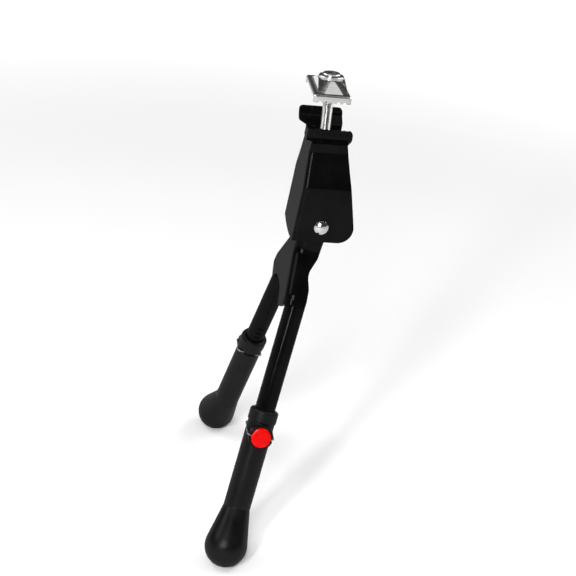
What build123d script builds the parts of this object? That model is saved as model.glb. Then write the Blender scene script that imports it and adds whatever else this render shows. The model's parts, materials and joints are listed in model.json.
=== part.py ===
"""Bicycle kickstand with two splayed, telescoping legs that fold up together. Millimetres, +Z up."""
import os
from math import atan, cos, degrees, radians, sin, tan

from build123d import *

# Whole stand: origin on the clamp bolt at the seat, +X to the rear, +Y to the right
SHEET = 3.0
LEAN = 12.6
PIVOT_X = 1.6
PIVOT_Z = -78.5
SOLE_Z = -334.0
# Half the distance between the two leg axes where they meet the ground
STANCE_HALF = 99.5
# Reach of the cutting tools, and how far they overshoot
WIDE = 200.0
CUT = 1.0

# Clamp plate with its pressed dome, bolt and countersunk washer
CLAMP_SHEET = 2.5
CLAMP_LENGTH = 28.2
CLAMP_WIDTH = 58.0
CLAMP_SHIFT = -1.2
CLAMP_TOP = 24.0
CLAMP_CORNER = 2.0
CLAMP_LIP = 5.5
CLAMP_BEVEL = 0.9
CLAMP_TEETH = 5
CLAMP_TOOTH_PITCH = 4.6
CLAMP_TOOTH_R = 1.35
DOME_LENGTH = 22.5
DOME_WIDTH = 48.0
DOME_FOOT_R = 25.0
DOME_TOP = 30.4
DOME_TOP_R = 10.0
BOLT_R = 4.0
BOLT_HEAD_R = 7.0
BOLT_FOOT = -34.0
BOLT_CROWN = 34.1
BOLT_POINT = 0.8
HEAD_BAND = 1.0
HEAD_BEVEL = 0.7
HEX_SOCKET = 5.0
HEX_DEPTH = 3.5
WASHER_R = 9.7
WASHER_THICK = 2.0
WASHER_BEVEL = 0.6
HOLE_CLEARANCE = 0.5

# Housing: one folded sheet, a front web and two side plates with serrated lips
LIP_HALF = 32.0
WAIST_HALF = 21.0
LOW_HALF = 31.5
LIP_TOP = -1.0
LIP_FOOT = -7.5
WAIST_TOP = -15.0
FOLD_TOP = -20.5
FLARE_TOP = -22.0
FLARE_MID = -34.0
FLARE_MID_HALF = 25.2
FLARE_FOOT = -47.0
HOUSING_FOOT = -90.0
LIP_FRONT = -17.5
LIP_REAR = 16.5
LIP_CORNER = 3.0
WEB_TOP = -13.0
WEB_FRONT_TOP = -11.9
WEB_FRONT_FOOT = -20.0
WEB_SAG = 3.0
PLATE_REAR_TOP = 15.6
PLATE_REAR_FOOT = 28.6
PLATE_CORNER = 12.0
FOLD_R = 3.5
SECTION_R = 2.5
SERRATION_PITCH = 4.2
SERRATION_DEPTH = 1.8
SERRATIONS = 7
DIMPLE_SIDE = 1.8
DIMPLE_DEPTH = 0.6
DIMPLE_DROP = 2.8
STOP_HALF = 12.0
STOP_HEIGHT = 3.0
STOP_GAP = 0.3
NUT_PLATE_THICK = 6.0
NUT_PLATE_REAR = 11.0

# Pivot: headed pin, tube and friction washers
PIN_R = 4.0
PIN_HEAD_R = 5.8
PIN_HEAD_RISE = 2.6
PIN_CLEARANCE = 0.05
PIVOT_TUBE_R = 6.5
FRICTION_WASHER_R = 9.0
FRICTION_WASHER_THICK = 0.8
SIDE_CLEARANCE = 0.05

# Yoke: one folded sheet that joins both leg tubes
YOKE_HALF = 19.5
YOKE_FRONT = 11.0
YOKE_TOP = -11.0
YOKE_TOP_R = 8.0
YOKE_FLARE_TOP = 26.0
YOKE_FLARE_FOOT = 54.0
YOKE_END = 64.0
YOKE_TOE = 5.0
YOKE_TOE_R = 3.0
YOKE_INNER_HOLD = 11.0
YOKE_FOLD_R = 8.0
YOKE_BEND_R = 9.0
YOKE_REAR = -8.5
YOKE_NOTCH = -2.5
YOKE_HOLD_REAR = -5.5
YOKE_NOTCH_TOP = 28.0
YOKE_NOTCH_MID = 39.0
YOKE_NOTCH_FOOT = 48.0
ARCH_TOP = 62.0
ARCH_HALF = 13.0
ARCH_R = 30.0
# Edges at more than this angle from sideways count as the sides of a face
EDGE_ANGLE = 37.0

# Leg tubes with a row of notches on the inner side
LEG_Y = 18.0
TUBE_R = 8.0
TUBE_WALL = 2.0
TUBE_TOP = 42.0
TUBE_SLANT = 60.0
TUBE_END = 58.0
NOTCHES = 7
NOTCH_PITCH = 5.0
NOTCH_DEPTH = 0.9
NOTCH_HEIGHT = 1.8

# Sliding foot: sleeve, collar, button boss and ball-shaped foot in one moulding
FOOT_HEIGHT = 113.8
SLIDE_CLEARANCE = 0.08
SLEEVE_R = 10.7
COLLAR_R = 11.4
COLLAR_HEIGHT = 10.0
COLLAR_ROUND = 1.8
COLLAR_BEVEL = 0.6
BORE_END_GAP = 3.0
NECK = 83.0
NECK_R = 10.85
BALL_R = 16.8
BALL_RISE = 13.9
BALL_OUT = 9.5
BALL_AHEAD = 1.75

# Latch: red push button and the wire bail that it carries
BUTTON_Z = -20.0
BUTTON_R = 7.8
BUTTON_CLEARANCE = 0.3
BUTTON_FACE = 16.4
BUTTON_THICK = 4.2
BUTTON_EDGE = 1.2
BUTTON_BEVEL = 0.4
BUTTON_TRAVEL = 2.5
BOSS_WALL = 1.4
BOSS_FACE = 14.8
BOSS_FLOOR = 9.3
WIRE_R = 0.6
WIRE_X = 13.7
WIRE_HALF = 10.4
WIRE_BEND = 1.8
WIRE_GRIP = 5.0
WIRE_GAP = 0.35
HOLE_FIT = 0.05
NOTCH_GAP = 0.3
CROSSING_Z = -14.0

PIVOT = Vector(PIVOT_X, 0, PIVOT_Z)
DOWN = Vector(-sin(radians(LEAN)), 0, -cos(radians(LEAN)))
FORWARD = Vector(-cos(radians(LEAN)), 0, sin(radians(LEAN)))
RIGHT = Vector(0, 1, 0)
# How far the ground and the collars' tops lie below the pivot, along the leaning plane of the legs
SOLE_A = (PIVOT_Z - SOLE_Z) / cos(radians(LEAN))
COLLAR_A = SOLE_A - FOOT_HEIGHT / cos(radians(LEAN))
SPLAY = degrees(atan((STANCE_HALF - LEG_Y) / SOLE_A))
LEG_DOWN = DOWN * cos(radians(SPLAY)) + RIGHT * sin(radians(SPLAY))
LEG_OUT = RIGHT * cos(radians(SPLAY)) - DOWN * sin(radians(SPLAY))
# Yoke plane: x to the right, y down the leaning plane, z forward
YOKE = Plane(PIVOT, x_dir=RIGHT, z_dir=FORWARD)
# Yoke side view: x down the leaning plane, y forward
YOKE_SIDE = Plane(PIVOT, x_dir=DOWN, z_dir=RIGHT)


def leg_side(a):
    """Distance of the leg axis from the middle, at a distance below the pivot."""
    return LEG_Y + a * tan(radians(SPLAY))


COLLAR = PIVOT + DOWN * COLLAR_A + RIGHT * leg_side(COLLAR_A)
# Leg plane: x outward, y forward, z up the leg, from the collar's top
LEG = Plane(COLLAR, x_dir=LEG_OUT, z_dir=LEG_DOWN * -1)


def meet(p, d, q, e):
    """Where the line from p along d crosses the line from q along e, in the plane."""
    k = ((q[0] - p[0]) * e[1] - (q[1] - p[1]) * e[0]) / (d[0] * e[1] - d[1] * e[0])
    return (p[0] + k * d[0], p[1] + k * d[1])


def both_halves(points):
    """A closed outline from its right half, listed from the middle round to the middle."""
    return points + [(-x, y) for x, y in reversed(points) if abs(x) > 1e-6]


def prism(plane, points, low, high, rounds=()):
    """A prism on a plane between two heights, with chosen corners rounded."""
    face = make_face(Polyline(*points, close=True).edges())
    for spot, radius in rounds:
        face = fillet(face.vertices().sort_by_distance(Vector(*spot))[0], radius)
    return extrude(plane.offset(low) * face, high - low, dir=plane.z_dir)


def eased(points, i, radius):
    """The rounding of one corner of an outline, which takes at most half of the shorter side beside it."""
    here = Vector(*points[i])
    back = Vector(*points[i - 1]) - here
    ahead = Vector(*points[(i + 1) % len(points)]) - here
    room = min(back.length, ahead.length) / 2 * tan(radians(back.get_angle(ahead)) / 2)
    return points[i], min(radius, room)


def rod(start, end, radius):
    """A round bar between two points."""
    axis = Vector(*end) - Vector(*start)
    return extrude(Plane(Vector(*start), z_dir=axis) * Circle(radius), axis.length)


def along_x(points, low, high, rounds=()):
    """A prism along X whose outline is given as (y, z)."""
    return prism(Plane.YZ, points, low, high, rounds)


def along_y(points, half, rounds=()):
    """A prism across the middle whose outline is given as (x, z)."""
    plane = Plane((0, 0, 0), x_dir=(1, 0, 0), z_dir=(0, -1, 0))
    return prism(plane, points, -half, half, rounds)


def turned(points):
    """A solid of revolution about the Z axis from a closed outline of (radius, height)."""
    face = make_face(Polyline(*points, close=True).edges())
    return revolve(face.rotate(Axis.X, 90), Axis.Z)


def mirrored(rounds):
    """Corner roundings together with their mirror images."""
    return rounds + [((-x, y), radius) for (x, y), radius in rounds]


def hipped(inset, low, high):
    """A block that narrows from the dome's rectangle, less an inset, to a square round its top."""
    front = CLAMP_SHIFT / 2 - DOME_LENGTH / 2 + inset
    rear = CLAMP_SHIFT / 2 + DOME_LENGTH / 2 - inset
    half = DOME_WIDTH / 2 - inset
    top = DOME_TOP_R - inset
    across = along_y([(front, low), (rear, low), (top, high), (-top, high)], half)
    return across & along_x([(-half, low), (half, low), (top, high), (-top, high)], -WIDE, WIDE)


def clamp_plate():
    """Stamped plate with toothed edges and a dome that rises from a rectangle to a round top."""
    outline = RectangleRounded(CLAMP_LENGTH, CLAMP_WIDTH, CLAMP_CORNER)
    lip_foot = CLAMP_TOP - CLAMP_LIP
    body = extrude(Pos(CLAMP_SHIFT, 0, lip_foot) * outline, CLAMP_LIP)
    body = chamfer(body.faces().sort_by(Axis.Z)[-1].edges(), CLAMP_BEVEL)
    hollow = Box(WIDE, CLAMP_WIDTH - 2 * CLAMP_SHEET, CLAMP_LIP)
    body -= Pos(0, 0, CLAMP_TOP - CLAMP_SHEET - CLAMP_LIP / 2) * hollow
    for i in range(CLAMP_TEETH):
        x = CLAMP_SHIFT + (i - (CLAMP_TEETH - 1) / 2) * CLAMP_TOOTH_PITCH
        body -= rod((x, -WIDE, lip_foot), (x, WIDE, lip_foot), CLAMP_TOOTH_R)
    round_hip = turned([(0, CLAMP_TOP), (DOME_FOOT_R, CLAMP_TOP), (DOME_TOP_R, DOME_TOP), (0, DOME_TOP)])
    dome = hipped(0, CLAMP_TOP, DOME_TOP) & round_hip
    under = hipped(CLAMP_SHEET, CLAMP_TOP - CLAMP_SHEET, DOME_TOP - CLAMP_SHEET)
    hole = rod((0, 0, 0), (0, 0, DOME_TOP + CUT), BOLT_R + 2 * HOLE_CLEARANCE)
    return body + dome - under - hole


def clamp_bolt():
    """Countersunk socket bolt, crowned on top."""
    head_top = DOME_TOP + WASHER_THICK
    bolt = turned([
        (0, BOLT_FOOT),
        (BOLT_R - BOLT_POINT, BOLT_FOOT),
        (BOLT_R, BOLT_FOOT + BOLT_POINT),
        (BOLT_R, head_top - (BOLT_HEAD_R - BOLT_R)),
        (BOLT_HEAD_R, head_top),
        (BOLT_HEAD_R, head_top + HEAD_BAND),
        (BOLT_HEAD_R - HEAD_BEVEL, BOLT_CROWN),
        (0, BOLT_CROWN),
    ])
    hexagon = RegularPolygon(HEX_SOCKET / 2, 6, major_radius=False)
    return bolt - extrude(Pos(0, 0, BOLT_CROWN - HEX_DEPTH) * hexagon, HEX_DEPTH + CUT)


def cup_washer():
    """Thick washer whose countersink seats the bolt head."""
    top = DOME_TOP + WASHER_THICK
    return turned([
        (BOLT_R + HOLE_CLEARANCE, DOME_TOP),
        (WASHER_R, DOME_TOP),
        (WASHER_R, top - WASHER_BEVEL),
        (WASHER_R - WASHER_BEVEL, top),
        (BOLT_HEAD_R, top),
        (BOLT_HEAD_R - WASHER_THICK, DOME_TOP),
    ])


def strip(points, thick):
    """Outline of a sheet that runs along the points, with its thickness on the right of the way."""
    lines = []
    for p, q in zip(points, points[1:]):
        d = (q[0] - p[0], q[1] - p[1])
        size = (d[0] ** 2 + d[1] ** 2) ** 0.5
        lines.append(((p[0] + d[1] / size * thick, p[1] - d[0] / size * thick), d))
    far = [lines[0][0]]
    for (p, d), (q, e) in zip(lines, lines[1:]):
        far.append(meet(p, d, q, e))
    (p, d) = lines[-1]
    far.append((p[0] + d[0], p[1] + d[1]))
    return points + far[::-1]


def bends(points, thick, radius):
    """Corner roundings for a strip: each bend has the radius inside, and the thickness more outside."""
    far = strip(points, thick)[len(points):][::-1]
    rounds = []
    for i in range(1, len(points) - 1):
        ax, ay = points[i][0] - points[i - 1][0], points[i][1] - points[i - 1][1]
        bx, by = points[i + 1][0] - points[i][0], points[i + 1][1] - points[i][1]
        left = ax * by - ay * bx > 0
        rounds.append((points[i], radius if left else radius + thick))
        rounds.append((far[i], radius + thick if left else radius))
    return rounds


def yoke_face_x(forward, z):
    """The x of a plane that stands a distance ahead of the leg plane, at a height."""
    return PIVOT_X + (forward - (z - PIVOT_Z) * FORWARD.Z) / FORWARD.X


def web_x(z, inset):
    """The x of the web's front face at a height, set in by a distance."""
    lean = (WEB_FRONT_FOOT - WEB_FRONT_TOP) / (HOUSING_FOOT - WEB_TOP)
    return WEB_FRONT_TOP + lean * (z - WEB_TOP) + inset * (1 + lean ** 2) ** 0.5


def housing_block(points, rounds, inset):
    """A solid bounded by the side plates' line and the leaning front, with both front folds rounded."""
    top = points[0][1]
    low = points[-1][1]
    block = along_x(both_halves([(0, top)] + points + [(0, low)]), -WIDE / 2, WIDE / 2, mirrored(rounds))
    behind = [(web_x(top, inset), top), (WIDE, top), (WIDE, low), (web_x(low, inset), low)]
    block = block & along_y(behind, WIDE)
    front = block.faces().sort_by(lambda face: face.normal_at().X)[0]
    folds = [edge for edge in front.edges() if abs(edge.tangent_at(0.5).Y) < cos(radians(EDGE_ANGLE))]
    return fillet(folds, FOLD_R - inset)


def housing():
    """Folded sheet: joggled side plates, leaning front web, serrated lips and a turned-in stop."""
    low = HOUSING_FOOT - WEB_SAG
    waist = (WAIST_HALF, FOLD_TOP)
    lip_line = [(LIP_HALF, LIP_TOP), (LIP_HALF, LIP_FOOT), (WAIST_HALF, WAIST_TOP), waist]
    flare = [(WAIST_HALF, FLARE_TOP), (FLARE_MID_HALF, FLARE_MID), (LOW_HALF, FLARE_FOOT)]
    side_line = [waist] + flare + [(LOW_HALF, low)]
    inner_line = strip(side_line, SHEET)[len(side_line):][::-1]
    rounds = bends(side_line, SHEET, SECTION_R)
    body = housing_block(side_line, rounds[0::2], 0) - housing_block(inner_line, rounds[1::2], SHEET)
    lip = along_x(strip(lip_line, SHEET), -WIDE / 2, WIDE / 2, bends(lip_line, SHEET, SECTION_R))
    body += lip + mirror(lip, about=Plane.XZ)
    web_rear = web_x(HOUSING_FOOT, SHEET)
    lip_turn = LIP_FOOT - SHEET
    body = body & along_y(
        [
            (LIP_FRONT, LIP_TOP),
            (LIP_REAR, LIP_TOP),
            (LIP_REAR, lip_turn),
            (PLATE_REAR_TOP, WAIST_TOP),
            (PLATE_REAR_FOOT, HOUSING_FOOT),
            (web_rear, HOUSING_FOOT),
            (web_rear, low),
            (web_x(low, 0), low),
            (web_x(WEB_TOP, 0), WEB_TOP),
            (LIP_FRONT, lip_turn),
        ],
        WIDE,
        [
            ((LIP_FRONT, LIP_TOP), LIP_CORNER),
            ((LIP_REAR, LIP_TOP), LIP_CORNER),
            ((PLATE_REAR_FOOT, HOUSING_FOOT), PLATE_CORNER),
        ],
    )
    sag_r = (LOW_HALF ** 2 + WEB_SAG ** 2) / (2 * WEB_SAG)
    body = body & rod((-WIDE, 0, low + sag_r), (WIDE, 0, low + sag_r), sag_r)
    web_line = [(web_x(FOLD_TOP, 0), FOLD_TOP), (web_x(WEB_TOP, 0), WEB_TOP)]
    body += along_y(strip(web_line, SHEET), WAIST_HALF - SHEET)
    stop_top = HOUSING_FOOT + STOP_HEIGHT
    stop_line = YOKE_FRONT + STOP_GAP
    body += along_y(
        [
            (web_x(HOUSING_FOOT, SHEET / 2), HOUSING_FOOT),
            (yoke_face_x(stop_line, HOUSING_FOOT), HOUSING_FOOT),
            (yoke_face_x(stop_line, stop_top), stop_top),
            (web_x(stop_top, SHEET / 2), stop_top),
        ],
        STOP_HALF,
    )
    punch = Rot(0, 45, 0) * Box(DIMPLE_SIDE, 2 * DIMPLE_DEPTH, DIMPLE_SIDE)
    for i in range(SERRATIONS):
        x = (LIP_FRONT + LIP_REAR) / 2 + (i - (SERRATIONS - 1) / 2) * SERRATION_PITCH
        tooth_gap = [
            (x - SERRATION_DEPTH, LIP_TOP),
            (x, LIP_TOP - SERRATION_DEPTH),
            (x + SERRATION_DEPTH, LIP_TOP),
            (x, LIP_TOP + SERRATION_DEPTH),
        ]
        body -= along_y(tooth_gap, LIP_HALF - SHEET / 2)
        for y in (-LIP_HALF, LIP_HALF):
            body -= Pos(x, y, LIP_TOP - DIMPLE_DROP) * punch
    return body - rod((PIVOT_X, -WIDE, PIVOT_Z), (PIVOT_X, WIDE, PIVOT_Z), PIN_R)


def nut_plate():
    """Thick threaded plate welded between the side plates, against the web."""
    top = FLARE_TOP + NUT_PLATE_THICK
    front = web_x(top, SHEET)
    plate = Box(NUT_PLATE_REAR - front, 2 * (WAIST_HALF - SHEET), NUT_PLATE_THICK)
    plate = Pos((NUT_PLATE_REAR + front) / 2, 0, top - NUT_PLATE_THICK / 2) * plate
    return plate - rod((0, 0, -WIDE), (0, 0, WIDE), BOLT_R)


def pivot_pin():
    """Long rivet with a domed head on each side."""
    pin = rod((PIVOT_X, -LOW_HALF, PIVOT_Z), (PIVOT_X, LOW_HALF, PIVOT_Z), PIN_R)
    ball_r = (PIN_HEAD_R ** 2 + PIN_HEAD_RISE ** 2) / (2 * PIN_HEAD_RISE)
    ball_y = LOW_HALF + PIN_HEAD_RISE - ball_r
    ball = Pos(PIVOT_X, ball_y, PIVOT_Z) * Sphere(ball_r)
    head = ball & rod((PIVOT_X, LOW_HALF, PIVOT_Z), (PIVOT_X, WIDE, PIVOT_Z), PIN_HEAD_R)
    return pin + head + mirror(head, about=Plane.XZ)


def tube_y(near, far, outer_r, inner_r):
    """A short tube on the pivot axis between two distances from the middle."""
    tube = rod((PIVOT_X, near, PIVOT_Z), (PIVOT_X, far, PIVOT_Z), outer_r)
    return tube - rod((PIVOT_X, near - CUT, PIVOT_Z), (PIVOT_X, far + CUT, PIVOT_Z), inner_r)


def yoke_lines():
    """Outer and inner corner points of the yoke's side walls, as (right, down) in the leaning plane."""
    along = (sin(radians(SPLAY)), cos(radians(SPLAY)))
    out = (cos(radians(SPLAY)), -sin(radians(SPLAY)))
    hold_r = TUBE_R + SHEET
    end = (leg_side(YOKE_END), YOKE_END)
    end_out = (end[0] + hold_r * out[0], end[1] + hold_r * out[1])
    toe = (leg_side(YOKE_END + YOKE_TOE), YOKE_END + YOKE_TOE)
    end_in = (toe[0] - YOKE_INNER_HOLD * out[0], toe[1] - YOKE_INNER_HOLD * out[1])
    knee = (YOKE_HALF, YOKE_FLARE_TOP)
    shoulder = meet(end_out, along, (0, YOKE_FLARE_FOOT), (1, 0))
    return knee, shoulder, end_out, end_in, along


def yoke_hollow():
    """The space inside the yoke's web and side walls, which runs on below it along the legs."""
    knee, shoulder, end_out, end_in, along = yoke_lines()
    far = (shoulder[0] + 2 * WIDE * along[0], shoulder[1] + 2 * WIDE * along[1])
    wall = [(YOKE_HALF, -WIDE), knee, shoulder, far]
    inner = strip(wall, -SHEET)[len(wall):][::-1]
    rounds = [(inner[1], YOKE_BEND_R + SHEET), (inner[2], YOKE_BEND_R)]
    hollow = prism(YOKE, both_halves(inner), -WIDE / 4, YOKE_FRONT - SHEET, mirrored(rounds))
    return fillet(front_edges(hollow), YOKE_FOLD_R - SHEET)


def leg_yoke():
    """Folded sheet with a narrow pivot end, flared shoulders and a half-wrap round each leg tube."""
    knee, shoulder, end_out, end_in, along = yoke_lines()
    arch = (ARCH_HALF, ARCH_TOP)
    right = [(YOKE_HALF, YOKE_TOP), knee, shoulder, end_out, end_in, arch]
    rounds = [(knee, YOKE_BEND_R), (shoulder, YOKE_BEND_R + SHEET), (end_in, YOKE_TOE_R), (arch, ARCH_R)]
    block = prism(YOKE, both_halves(right), YOKE_REAR - CUT, YOKE_FRONT, mirrored(rounds))
    block = fillet(front_edges(block), YOKE_FOLD_R)
    profile = [
        (YOKE_TOP, YOKE_FRONT),
        (YOKE_TOP, YOKE_REAR),
        (YOKE_NOTCH_TOP, YOKE_REAR),
        (YOKE_NOTCH_MID, YOKE_NOTCH),
        (YOKE_NOTCH_FOOT, YOKE_HOLD_REAR),
        (WIDE, YOKE_HOLD_REAR),
        (WIDE, YOKE_FRONT),
    ]
    rounds = [eased(profile, i, YOKE_BEND_R) for i in (2, 3, 4)]
    rounds += [eased(profile, i, YOKE_TOP_R) for i in (0, 1)]
    side = prism(YOKE_SIDE, profile, -WIDE, WIDE, rounds)
    hole = rod((PIVOT_X, -WIDE, PIVOT_Z), (PIVOT_X, WIDE, PIVOT_Z), PIVOT_TUBE_R)
    return (block - yoke_hollow()) & side - hole


def front_edges(solid):
    """The outer edges that run down both sides of a solid's front face."""
    face = solid.faces().sort_by(lambda f: (f.center() - PIVOT).dot(FORWARD))[-1]
    chosen = []
    for edge in face.edges():
        spot = YOKE.to_local_coords(edge.center())
        outside = abs(spot.X) > (leg_side(spot.Y) if spot.Y > ARCH_TOP else YOKE_HALF / 2)
        if outside and abs(edge.tangent_at(0.5).dot(RIGHT)) < cos(radians(EDGE_ANGLE)):
            chosen.append(edge)
    return chosen


def on_leg(shape):
    """A piece made in the leg plane, set in place on the right leg."""
    return LEG.location * shape


def leg_tube():
    """Steel tube, mitred inside the yoke and cut aslant behind, with notches across its inner side."""
    top = (COLLAR_A - TUBE_TOP) / cos(radians(SPLAY))
    tube = on_leg(rod((0, 0, -TUBE_END), (0, 0, top), TUBE_R))
    slant = [
        (0, -WIDE),
        (0, YOKE_NOTCH),
        (YOKE_NOTCH_MID, YOKE_NOTCH),
        (TUBE_SLANT, -TUBE_R),
        (TUBE_SLANT, -WIDE),
    ]
    tube = tube & yoke_hollow()
    tube -= prism(YOKE_SIDE, slant, -WIDE, WIDE)
    tube -= on_leg(rod((0, 0, -TUBE_END - CUT), (0, 0, top + CUT), TUBE_R - TUBE_WALL))
    for i in range(NOTCHES):
        z = CROSSING_Z + i * NOTCH_PITCH
        cut = Pos(-TUBE_R, 0, z) * Box(2 * NOTCH_DEPTH, 2 * TUBE_R, NOTCH_HEIGHT)
        tube -= on_leg(cut)
    return tube


def foot_ball():
    """Drop-shaped foot: a ball and the cone that runs up from it to a smaller ball at the neck."""
    neck = COLLAR + LEG_DOWN * NECK
    k = (SOLE_Z + BALL_RISE - COLLAR.Z) / LEG_DOWN.Z
    ball = COLLAR + LEG_DOWN * k + RIGHT * BALL_OUT - Vector(BALL_AHEAD, 0, 0)
    axis = ball - neck
    slope = (BALL_R - NECK_R) / axis.length
    across = (1 - slope ** 2) ** 0.5
    neck_edge = (NECK_R * across, -NECK_R * slope)
    ball_edge = (BALL_R * across, axis.length - BALL_R * slope)
    half = 0.5 ** 0.5
    outline = [
        Line((0, axis.length + BALL_R), (0, -NECK_R)),
        ThreePointArc((0, -NECK_R), (NECK_R * half, -NECK_R * half), neck_edge),
        Line(neck_edge, ball_edge),
        ThreePointArc(ball_edge, (BALL_R, axis.length), (0, axis.length + BALL_R)),
    ]
    drop = revolve(make_face(outline).rotate(Axis.X, 90), Axis.Z)
    drop = Plane(neck, x_dir=FORWARD, z_dir=axis).location * drop
    return drop - Pos(0, 0, SOLE_Z - WIDE / 2) * Box(2 * WIDE, 2 * WIDE, WIDE)


def foot():
    """Sleeve with its collar and button boss, and the drop-shaped foot below, as one moulding."""
    sleeve = turned([
        (0, 0),
        (COLLAR_R - COLLAR_ROUND, 0),
        (COLLAR_R - COLLAR_BEVEL, -COLLAR_BEVEL),
        (COLLAR_R, -COLLAR_ROUND),
        (COLLAR_R, -COLLAR_HEIGHT + COLLAR_BEVEL),
        (SLEEVE_R, -COLLAR_HEIGHT),
        (SLEEVE_R, -NECK),
        (0, -NECK),
    ])
    boss_r = BUTTON_R + BUTTON_CLEARANCE + BOSS_WALL
    sleeve += rod((0, 0, BUTTON_Z), (BOSS_FACE, 0, BUTTON_Z), boss_r)
    body = on_leg(sleeve) + foot_ball()
    bore_depth = TUBE_END + (NOTCHES - 1) * NOTCH_PITCH + BORE_END_GAP
    body -= on_leg(rod((0, 0, -bore_depth), (0, 0, CUT), TUBE_R + SLIDE_CLEARANCE))
    well_top = BOSS_FACE + CUT
    well = rod((BOSS_FLOOR, 0, BUTTON_Z), (well_top, 0, BUTTON_Z), BUTTON_R + BUTTON_CLEARANCE)
    slot_low = WIRE_X - BUTTON_TRAVEL - WIRE_R - WIRE_GAP
    slot_height = 2 * (WIRE_R + WIRE_GAP)
    slot = Box(well_top - slot_low, 2 * WIRE_HALF, slot_height)
    slot = Pos((slot_low + well_top) / 2, 0, BUTTON_Z) * slot
    gate_in = -TUBE_R + WIRE_R
    gate_out = -SLEEVE_R - CUT
    gate = Pos((gate_in + gate_out) / 2, 0, CROSSING_Z) * Box(gate_in - gate_out, 2 * WIRE_HALF, slot_height)
    floor = WIRE_HALF - WIRE_R - WIRE_GAP
    for tool in (well, slot, gate):
        body -= on_leg(tool)
    for side in (-1, 1):
        body -= on_leg(bail_groove(side, bail_crossing().X, floor))
        body -= on_leg(bail_groove(side, slot_low - WIRE_BEND, floor - WIRE_BEND))
    return body


def bail_crossing():
    """Middle of the bail's run across the tube's inner side, in a notch."""
    return Vector(-TUBE_R + NOTCH_DEPTH - WIRE_R - NOTCH_GAP, 0, CROSSING_Z)


def bail_groove(side, end, floor):
    """The room in which one leg of the bail moves, from the button inward to an end, down to a floor."""
    slope = (CROSSING_Z - BUTTON_Z) / (bail_crossing().X - WIRE_X)
    above = WIRE_R + WIRE_GAP
    below = above - slope * BUTTON_TRAVEL
    rise = slope * (end - WIRE_X)
    outline = [
        (WIRE_X, BUTTON_Z + above),
        (end, BUTTON_Z + rise + above),
        (end, BUTTON_Z + rise - below),
        (WIRE_X, BUTTON_Z - below),
    ]
    plane = Plane((0, 0, 0), x_dir=(1, 0, 0), z_dir=(0, -1, 0))
    low, high = (floor, WIDE) if side > 0 else (-WIDE, -floor)
    return prism(plane, outline, low, high)


def button():
    """Round push button with bevelled edges and a hole for the bail."""
    body = turned([
        (0, BUTTON_FACE - BUTTON_THICK),
        (BUTTON_R, BUTTON_FACE - BUTTON_THICK),
        (BUTTON_R, BUTTON_FACE - BUTTON_EDGE),
        (BUTTON_R - BUTTON_BEVEL, BUTTON_FACE - BUTTON_BEVEL),
        (BUTTON_R - BUTTON_EDGE, BUTTON_FACE),
        (0, BUTTON_FACE),
    ])
    body = Pos(0, 0, BUTTON_Z) * Rot(0, 90, 0) * body
    body -= rod((WIRE_X, -WIDE, BUTTON_Z), (WIRE_X, WIDE, BUTTON_Z), WIRE_R + HOLE_FIT)
    return on_leg(body)


def bail():
    """Wire that runs from the button's hole round the sleeve to the notch on the inner side."""
    start = Vector(WIRE_X, 0, BUTTON_Z)
    way = bail_crossing() - start
    plane = Plane(start, x_dir=way, z_dir=way.cross(Vector(0, 1, 0)))
    half = [
        (0, WIRE_GRIP),
        (0, WIRE_HALF - WIRE_BEND),
        (WIRE_BEND, WIRE_HALF),
        (way.length - WIRE_BEND, WIRE_HALF),
        (way.length, WIRE_HALF - WIRE_BEND),
    ]
    path = plane * Polyline(*half, *[(x, -y) for x, y in half[::-1]])
    ring = Plane(path @ 0, z_dir=path % 0) * Circle(WIRE_R)
    return on_leg(sweep(ring, path=path, transition=Transition.RIGHT))


def left(solid):
    """The left-hand piece that mirrors a right-hand one."""
    return mirror(solid, about=Plane.XZ)


os.makedirs("parts", exist_ok=True)
right_leg = leg_tube()
right_foot = foot()
right_button = button()
right_bail = bail()
washer_out = LOW_HALF - SHEET
washer_in = washer_out - FRICTION_WASHER_THICK
right_washer = tube_y(washer_in, washer_out, FRICTION_WASHER_R, PIN_R)
tube_half = washer_in - SIDE_CLEARANCE
PARTS = {
    "clamp_plate": clamp_plate(),
    "clamp_bolt": clamp_bolt(),
    "cup_washer": cup_washer(),
    "housing": housing(),
    "nut_plate": nut_plate(),
    "pivot_pin": pivot_pin(),
    "pivot_tube": tube_y(-tube_half, tube_half, PIVOT_TUBE_R, PIN_R + PIN_CLEARANCE),
    "right_friction_washer": right_washer,
    "left_friction_washer": left(right_washer),
    "leg_yoke": leg_yoke(),
    "right_leg": right_leg,
    "left_leg": left(right_leg),
    "right_foot": right_foot,
    "left_foot": left(right_foot),
    "right_button": right_button,
    "left_button": left(right_button),
    "right_bail": right_bail,
    "left_bail": left(right_bail),
}
for name, solid in PARTS.items():
    print(name, round(solid.volume, 1), solid.is_valid, len(solid.solids()))
    export_step(solid, "parts/" + name + ".step")
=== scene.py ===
"""Bicycle kickstand in a plain studio. Metres, +Z up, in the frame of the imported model."""
import json
import math

import bpy
from mathutils import Matrix, Vector


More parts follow.
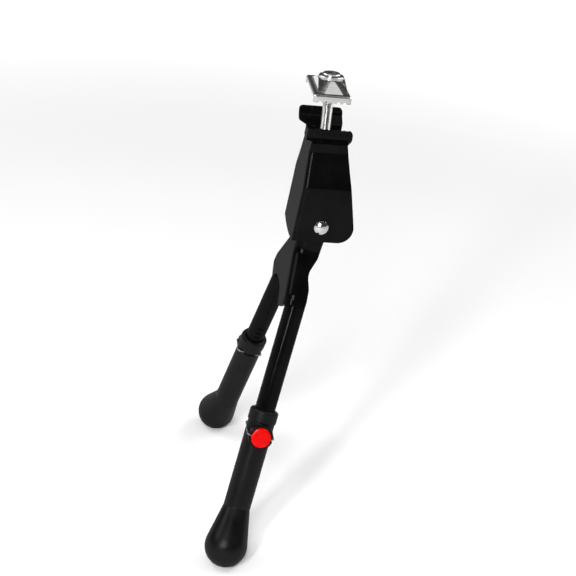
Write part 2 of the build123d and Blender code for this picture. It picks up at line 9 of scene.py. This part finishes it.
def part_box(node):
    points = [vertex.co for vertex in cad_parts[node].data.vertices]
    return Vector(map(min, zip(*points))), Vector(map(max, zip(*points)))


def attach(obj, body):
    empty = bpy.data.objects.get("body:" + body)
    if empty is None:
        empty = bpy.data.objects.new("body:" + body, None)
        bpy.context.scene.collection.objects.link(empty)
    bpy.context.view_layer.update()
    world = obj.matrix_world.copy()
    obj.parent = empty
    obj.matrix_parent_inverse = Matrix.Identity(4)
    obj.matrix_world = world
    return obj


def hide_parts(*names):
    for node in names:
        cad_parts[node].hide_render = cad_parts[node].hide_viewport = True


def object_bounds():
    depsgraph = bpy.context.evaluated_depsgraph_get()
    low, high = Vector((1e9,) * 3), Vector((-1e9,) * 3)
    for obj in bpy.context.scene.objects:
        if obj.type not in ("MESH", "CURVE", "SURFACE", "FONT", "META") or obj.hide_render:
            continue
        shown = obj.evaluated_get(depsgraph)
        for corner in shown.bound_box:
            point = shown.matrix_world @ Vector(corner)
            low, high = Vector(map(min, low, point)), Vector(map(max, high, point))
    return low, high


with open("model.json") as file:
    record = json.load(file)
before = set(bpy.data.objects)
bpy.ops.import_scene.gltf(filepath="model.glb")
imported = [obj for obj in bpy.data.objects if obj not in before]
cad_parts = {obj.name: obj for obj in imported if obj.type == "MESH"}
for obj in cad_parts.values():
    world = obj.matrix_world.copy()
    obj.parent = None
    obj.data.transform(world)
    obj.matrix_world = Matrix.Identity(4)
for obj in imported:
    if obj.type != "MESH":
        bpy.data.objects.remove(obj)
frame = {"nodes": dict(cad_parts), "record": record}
CAD_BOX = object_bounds()
NODES = frame["nodes"]
MM = 0.001
WHITE = (1.0, 1.0, 1.0, 1.0)

# Camera: turn, height and roll about the line of sight in degrees, distance and target in metres
CAMERA_TURN = -7.69
CAMERA_HEIGHT = 23.98
CAMERA_ROLL = 6.51
CAMERA_DISTANCE = 1.0
CAMERA_TARGET = (-0.0144, 0.0, -0.144)
CAMERA_LENS = 77.75
SENSOR = 36.0

# Bolt: its ends and its head's width come from the solid bolt, on whose axis the frame's origin lies
BOLT_R = 4.0 * MM
BOLT_POINT = 0.8 * MM
HEAD_BAND = 1.0 * MM
HEAD_BEVEL = 0.7 * MM
SOCKET_R = 2.5 * MM
SOCKET_DEPTH = 3.5 * MM
THREAD_LENGTH = 51.0 * MM
THREAD_PITCH = 1.25 * MM
THREAD_DEPTH = 0.6 * MM
# Shares of half a pitch that are flat on the thread's crest and at its root
CREST_FLAT = 0.08
ROOT_FLAT = 0.12
BOLT_SIDES = 48
ROWS_PER_TURN = 8
SHARP_ANGLE = 40.0

# Noise values between which a finish runs from its one limit to the other
NOISE_LOW = 0.3
NOISE_HIGH = 0.7
EDGE_SAMPLES = 6

# Floor: half its width, and the painted glow, an emission, that it takes on between two distances from the
# stand
FLOOR_COLOUR = (0.9, 0.9, 0.9)
FLOOR_ROUGHNESS = 0.7
FLOOR_REACH = 5.0
FLOOR_PAINTED_GLOW = 0.8
FLOOR_FADE = (0.9, 2.6)

# Sky: pale at eye level and dim overhead, between two heights on a sphere of radius 1
SKY_PALE = 0.9
SKY_DIM = 0.08
SKY_FADE = (0.02, 0.2)

# Soft lights: place, aim, width and height in metres, and power in watts
LIGHTS = {
    "strip_box": ((-0.62, -1.05, 0.55), CAMERA_TARGET, 0.14, 0.9, 12.0),
    "front_box": ((-0.35, -1.35, 0.75), CAMERA_TARGET, 0.3, 0.9, 12.0),
    "over_box": ((0.0, 0.3, 2.0), (0.0, 0.3, -0.33), 2.4, 1.6, 14.0),
    "left_box": ((-1.8, 0.9, 1.7), (0.0, 0.8, -0.33), 2.4, 1.2, 32.0),
    "right_box": ((1.8, 0.9, 1.7), (0.0, 0.8, -0.33), 2.4, 1.2, 35.0),
}


def material(name, colour, roughness, metallic=0.0, specular=0.5, coat=0.0):
    """A new material; returns it with its node tree and its surface shader."""
    made = bpy.data.materials.new(name)
    made.use_nodes = True
    tree = made.node_tree
    shader = tree.nodes["Principled BSDF"]
    shader.inputs["Base Color"].default_value = (*colour, 1.0)
    shader.inputs["Roughness"].default_value = roughness
    shader.inputs["Metallic"].default_value = metallic
    shader.inputs["Specular IOR Level"].default_value = specular
    shader.inputs["Coat Weight"].default_value = coat
    return made, tree, shader


def object_noise(tree, scale, detail, stretch=(1.0, 1.0, 1.0)):
    """Noise fixed to the object, with a scale in features per metre."""
    place = tree.nodes.new("ShaderNodeTexCoord")
    mapping = tree.nodes.new("ShaderNodeMapping")
    mapping.inputs["Scale"].default_value = stretch
    noise = tree.nodes.new("ShaderNodeTexNoise")
    noise.inputs["Scale"].default_value = scale
    noise.inputs["Detail"].default_value = detail
    tree.links.new(place.outputs["Object"], mapping.inputs["Vector"])
    tree.links.new(mapping.outputs["Vector"], noise.inputs["Vector"])
    return noise.outputs["Fac"]


def ramp(tree, source, dark, light):
    """A colour that runs between two tints as a noise runs over its middle part."""
    node = tree.nodes.new("ShaderNodeValToRGB")
    node.color_ramp.elements[0].position = NOISE_LOW
    node.color_ramp.elements[1].position = NOISE_HIGH
    node.color_ramp.elements[0].color = (*dark, 1.0)
    node.color_ramp.elements[1].color = (*light, 1.0)
    tree.links.new(source, node.inputs["Fac"])
    return node.outputs["Color"]


def spread(tree, source, low, high, start=NOISE_LOW, end=NOISE_HIGH):
    """A value that runs between two limits as its source runs from a start to an end."""
    node = tree.nodes.new("ShaderNodeMapRange")
    node.interpolation_type = "SMOOTHSTEP"
    node.inputs["From Min"].default_value = start
    node.inputs["From Max"].default_value = end
    node.inputs["To Min"].default_value = low
    node.inputs["To Max"].default_value = high
    tree.links.new(source, node.inputs["Value"])
    return node.outputs["Result"]


def relieve(tree, shader, source, depth, edge):
    """Surface relief of a depth in metres, over edges that are softened by a radius."""
    soft = tree.nodes.new("ShaderNodeBevel")
    soft.samples = EDGE_SAMPLES
    soft.inputs["Radius"].default_value = edge
    bump = tree.nodes.new("ShaderNodeBump")
    bump.inputs["Strength"].default_value = 1.0
    bump.inputs["Distance"].default_value = depth
    tree.links.new(source, bump.inputs["Height"])
    tree.links.new(soft.outputs["Normal"], bump.inputs["Normal"])
    tree.links.new(bump.outputs["Normal"], shader.inputs["Normal"])
    tree.links.new(bump.outputs["Normal"], shader.inputs["Coat Normal"])


def finish(name, tints, patches, gloss, grain, depth, edge, roughness=0.5, **surface):
    """A material whose tint and gloss follow one noise, the patches, and whose relief follows the grain."""
    made, tree, shader = material(name, tints[0], roughness, **surface)
    source = object_noise(tree, *patches)
    tree.links.new(ramp(tree, source, *tints), shader.inputs["Base Color"])
    skin = "Coat Roughness" if surface.get("coat") else "Roughness"
    tree.links.new(spread(tree, source, *gloss), shader.inputs[skin])
    relieve(tree, shader, object_noise(tree, *grain), depth, edge)
    return made


FINISHES = {
    # Black paint under a thin gloss coat, with a slight orange peel and a few dull patches
    "black_paint": finish(
        "gloss_black_paint",
        tints=((0.0015, 0.0015, 0.0016), (0.0035, 0.0035, 0.0036)),
        patches=(45.0, 3.0),
        gloss=(0.08, 0.14),
        grain=(420.0, 2.0),
        depth=0.03 * MM,
        edge=0.7 * MM,
        specular=0.0,
        coat=0.11,
    ),
    # Moulded nylon with a satin skin and a fine grain
    "black_nylon": finish(
        "satin_black_nylon",
        tints=((0.0025, 0.0026, 0.0026), (0.0045, 0.0047, 0.0047)),
        patches=(60.0, 3.0),
        gloss=(0.28, 0.36),
        grain=(1800.0, 2.0),
        depth=0.04 * MM,
        edge=0.8 * MM,
        roughness=0.6,
        specular=0.0,
        coat=0.25,
    ),
    # Bright plating with faint streaks and small dull spots
    "bright_chrome": finish(
        "bright_chrome",
        tints=((0.42, 0.42, 0.41), (0.56, 0.56, 0.55)),
        patches=(160.0, 4.0, (1.0, 9.0, 9.0)),
        gloss=(0.05, 0.16),
        grain=(160.0, 4.0, (1.0, 9.0, 9.0)),
        depth=0.02 * MM,
        edge=0.5 * MM,
        metallic=1.0,
    ),
    # Zinc plated steel with fine drawing lines
    "plain_steel": finish(
        "zinc_steel",
        tints=((0.20, 0.20, 0.19), (0.36, 0.36, 0.35)),
        patches=(400.0, 4.0, (1.0, 1.0, 8.0)),
        gloss=(0.22, 0.4),
        grain=(400.0, 4.0, (1.0, 1.0, 8.0)),
        depth=0.02 * MM,
        edge=0.3 * MM,
        metallic=1.0,
    ),
    # Bright red moulded plastic
    "red_plastic": finish(
        "bright_red_plastic",
        tints=((0.55, 0.0006, 0.0003), (0.61, 0.001, 0.0005)),
        patches=(120.0, 3.0),
        gloss=(0.24, 0.34),
        grain=(1500.0, 2.0),
        depth=0.01 * MM,
        edge=0.4 * MM,
        specular=0.12,
    ),
}


def dress(thing, slot):
    """Gives an object the finish of a material slot."""
    thing.data.materials.clear()
    thing.data.materials.append(FINISHES[slot])


def dress_nodes():
    """Every node takes the finish of the slot that the record gives it."""
    for part in frame["record"]["subparts"]:
        dress(NODES[part["node"]], part["material_slot"])


def new_mesh(name, points, faces, body, slot):
    """A mesh piece that rides on a body."""
    mesh = bpy.data.meshes.new(name)
    mesh.from_pydata(points, [], faces)
    mesh.update()
    thing = bpy.data.objects.new(name, mesh)
    bpy.context.scene.collection.objects.link(thing)
    dress(thing, slot)
    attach(thing, body)
    return thing


def round_row(radius):
    """Equal radii round the bolt."""
    return [radius] * BOLT_SIDES


def thread_row(height):
    """Radii round the bolt at a height on the thread, which climbs one pitch in each turn."""
    radii = []
    for i in range(BOLT_SIDES):
        phase = (height / THREAD_PITCH - i / BOLT_SIDES) % 1.0
        depth = (abs(2.0 * phase - 1.0) - CREST_FLAT) / (1.0 - CREST_FLAT - ROOT_FLAT)
        radii.append(BOLT_R - THREAD_DEPTH * min(1.0, max(0.0, depth)))
    return radii


def hexagon_row():
    """Radii of the hexagon socket at the bolt's angles."""
    steps = [math.radians(360.0 * i / BOLT_SIDES % 60.0 - 30.0) for i in range(BOLT_SIDES)]
    return [SOCKET_R / math.cos(step) for step in steps]


def bolt_rows():
    """Heights on the bolt, from its foot up and into its socket, with the radii round it at each."""
    (_, _, foot), (head_r, _, crown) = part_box("clamp_bolt")
    band_top = crown - HEAD_BEVEL
    rim = band_top - HEAD_BAND
    rows = [(foot, round_row(BOLT_R - BOLT_POINT))]
    for i in range(round((THREAD_LENGTH - BOLT_POINT) / THREAD_PITCH * ROWS_PER_TURN) + 1):
        height = foot + BOLT_POINT + i * THREAD_PITCH / ROWS_PER_TURN
        rows.append((height, thread_row(height)))
    rows.append((foot + THREAD_LENGTH + THREAD_PITCH, round_row(BOLT_R)))
    rows.append((rim - (head_r - BOLT_R), round_row(BOLT_R)))
    rows.append((rim, round_row(head_r)))
    rows.append((band_top, round_row(head_r)))
    rows.append((crown, round_row(head_r - HEAD_BEVEL)))
    rows.append((crown, hexagon_row()))
    rows.append((crown - SOCKET_DEPTH, hexagon_row()))
    return rows


def threaded_bolt():
    """The clamp bolt with its thread cut, in place of the plain solid one."""
    rows = bolt_rows()
    points = []
    for height, radii in rows:
        for i, radius in enumerate(radii):
            angle = math.radians(360.0 * i / BOLT_SIDES)
            points.append((radius * math.cos(angle), radius * math.sin(angle), height))
    faces = [list(range(BOLT_SIDES))[::-1]]
    for row in range(len(rows) - 1):
        for i in range(BOLT_SIDES):
            here = row * BOLT_SIDES + i
            beside = row * BOLT_SIDES + (i + 1) % BOLT_SIDES
            faces.append((here, beside, beside + BOLT_SIDES, here + BOLT_SIDES))
    last = (len(rows) - 1) * BOLT_SIDES
    faces.append([last + i for i in range(BOLT_SIDES)])
    bolt = new_mesh("threaded_bolt", points, faces, "bracket", "bright_chrome")
    bolt.data.polygons.foreach_set("use_smooth", [True] * len(faces))
    bolt.data.set_sharp_from_angle(angle=math.radians(SHARP_ANGLE))
    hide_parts("clamp_bolt")


def studio_floor():
    """A pale flat floor at the height of the lowest point of the stand, with a painted glow that brightens
    it in the distance.
    """
    level = CAD_BOX[0][2]
    made, tree, shader = material("pale_floor", FLOOR_COLOUR, FLOOR_ROUGHNESS)
    place = tree.nodes.new("ShaderNodeTexCoord")
    away = tree.nodes.new("ShaderNodeVectorMath")
    away.operation = "LENGTH"
    tree.links.new(place.outputs["Object"], away.inputs[0])
    # Painted glow: the floor's emission grows with distance from the stand, so the far floor looks white
    painted_glow = spread(tree, away.outputs["Value"], 0.0, FLOOR_PAINTED_GLOW, *FLOOR_FADE)
    tree.links.new(painted_glow, shader.inputs["Emission Strength"])
    shader.inputs["Emission Color"].default_value = WHITE
    corners = ((-1, -1), (1, -1), (1, 1), (-1, 1))
    mesh = bpy.data.meshes.new("floor")
    mesh.from_pydata([(x * FLOOR_REACH, y * FLOOR_REACH, level) for x, y in corners], [], [(0, 1, 2, 3)])
    mesh.materials.append(made)
    floor = bpy.data.objects.new("floor", mesh)
    bpy.context.scene.collection.objects.link(floor)


def studio_sky():
    """A room that is pale at eye level and dim overhead."""
    world = bpy.data.worlds.new("studio")
    world.use_nodes = True
    tree = world.node_tree
    sky = tree.nodes["Background"]
    sky.inputs["Color"].default_value = WHITE
    place = tree.nodes.new("ShaderNodeTexCoord")
    split = tree.nodes.new("ShaderNodeSeparateXYZ")
    tree.links.new(place.outputs["Generated"], split.inputs["Vector"])
    strength = spread(tree, split.outputs["Z"], SKY_PALE, SKY_DIM, *SKY_FADE)
    tree.links.new(strength, sky.inputs["Strength"])
    bpy.context.scene.world = world
    bpy.context.scene.view_settings.view_transform = "Standard"


def softbox(name, place, aim, width, height, power):
    """A soft light at a place, turned to a point."""
    data = bpy.data.lights.new(name, "AREA")
    data.shape = "RECTANGLE"
    data.size = width
    data.size_y = height
    data.energy = power
    lamp = bpy.data.objects.new(name, data)
    bpy.context.scene.collection.objects.link(lamp)
    lamp.location = place
    lamp.rotation_euler = (Vector(aim) - Vector(place)).to_track_quat("-Z", "Y").to_euler()


def place_camera():
    """The camera, rolled about its line of sight."""
    turn = math.radians(CAMERA_TURN)
    height = math.radians(CAMERA_HEIGHT)
    roll = math.radians(CAMERA_ROLL)
    back = Vector((math.sin(turn) * math.cos(height), -math.cos(turn) * math.cos(height), math.sin(height)))
    right = Vector((math.cos(turn), math.sin(turn), 0.0))
    up = back.cross(right)
    side = right * math.cos(roll) + up * math.sin(roll)
    top = up * math.cos(roll) - right * math.sin(roll)
    data = bpy.data.cameras.new("camera")
    data.lens = CAMERA_LENS
    data.sensor_width = SENSOR
    camera = bpy.data.objects.new("camera", data)
    bpy.context.scene.collection.objects.link(camera)
    turned = Matrix((side, top, back)).transposed().to_4x4()
    camera.matrix_world = Matrix.Translation(Vector(CAMERA_TARGET) + back * CAMERA_DISTANCE) @ turned
    bpy.context.scene.camera = camera


dress_nodes()
threaded_bolt()
studio_floor()
studio_sky()
for name, light in LIGHTS.items():
    softbox(name, *light)
place_camera()
